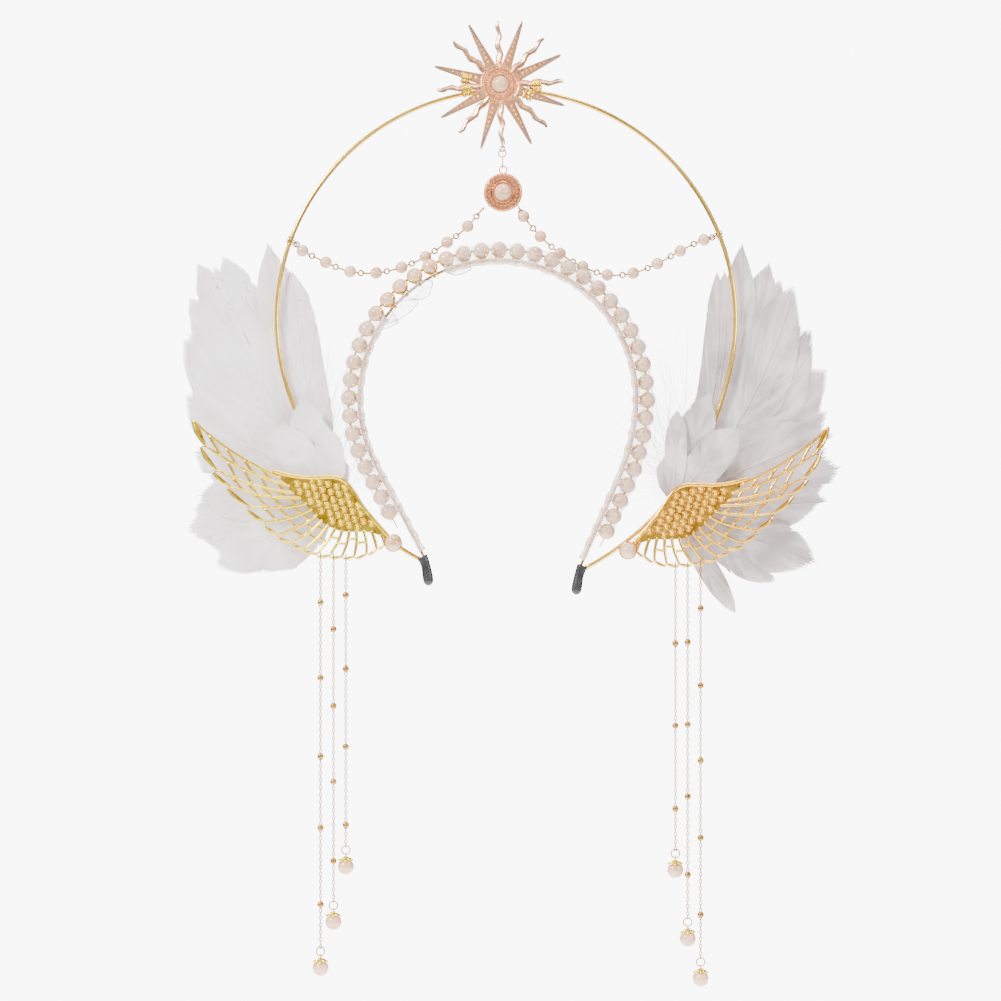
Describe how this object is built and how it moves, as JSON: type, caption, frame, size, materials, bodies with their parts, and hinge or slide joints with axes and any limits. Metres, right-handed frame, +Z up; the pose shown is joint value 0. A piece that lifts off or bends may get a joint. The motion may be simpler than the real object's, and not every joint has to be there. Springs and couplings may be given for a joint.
{
  "type": "halo headband",
  "caption": "Pearl-strung hair band that carries a leaning wire halo with a sunburst and pendant, pearl swags, pierced gold wings, feather plumes and chain tassels",
  "frame": {"origin": "where the crown of the head meets the padded inside of the band, at the top of its round", "axes": "+X to the wearer's left, which is the right of the front view; +Y to the back of the head; +Z up"},
  "size_m": [0.3309, 0.0267, 0.4831],
  "materials": {
    "gold": "bright plated gold, lightly polished, darker in its hollows",
    "rose_gold": "satin rose gold over a cast relief, worn grey at the tips of the rays",
    "halo_brass": "smooth drawn brass wire, satin",
    "pearl": "imitation pearl with a soft cream and pink lustre",
    "organza": "sheer white organza ribbon, crinkled, with a shiny thread",
    "feather": "white goose feathers, soft barbs with a satin sheen",
    "rubber": "black dipped rubber, slightly glossy"
  },
  "bodies": {
    "root": {"headband_strip": "gold", "gold_wing_left": "gold", "gold_wing_right": "gold", "wing_cup_left": "gold", "wing_cup_right": "gold", "sun_lashing_left": "gold", "sun_lashing_right": "gold", "pearl_row": "pearl", "sunburst_pearl": "pearl", "medallion_pearl": "pearl", "wing_pearl_left": "pearl", "wing_pearl_right": "pearl", "swag_left": "pearl", "swag_right": "pearl", "ribbon_left": "organza", "ribbon_right": "organza", "halo_wire": "halo_brass", "rubber_tip_left": "rubber", "rubber_tip_right": "rubber", "sunburst": "rose_gold", "pendant_ring": "rose_gold", "pendant_link": "rose_gold", "medallion": "rose_gold", "swag_tie_left": "rose_gold", "swag_tie_right": "rose_gold", "plume_back_left": "feather", "plume_back_right": "feather", "plume_front_left": "feather", "plume_front_right": "feather", "hook_left_1": "gold", "chain_left_1": "gold", "end_ring_left_1": "gold", "drop_cap_left_1": "gold", "drop_pearl_left_1": "pearl", "hook_left_2": "gold", "chain_left_2": "gold", "end_ring_left_2": "gold", "drop_cap_left_2": "gold", "drop_pearl_left_2": "pearl", "hook_left_3": "gold", "chain_left_3": "gold", "end_ring_left_3": "gold", "drop_cap_left_3": "gold", "drop_pearl_left_3": "pearl", "hook_right_1": "gold", "chain_right_1": "gold", "end_ring_right_1": "gold", "drop_cap_right_1": "gold", "drop_pearl_right_1": "pearl", "hook_right_2": "gold", "chain_right_2": "gold", "end_ring_right_2": "gold", "drop_cap_right_2": "gold", "drop_pearl_right_2": "pearl", "hook_right_3": "gold", "chain_right_3": "gold", "end_ring_right_3": "gold", "drop_cap_right_3": "gold", "drop_pearl_right_3": "pearl"}
  },
  "joints": []
}
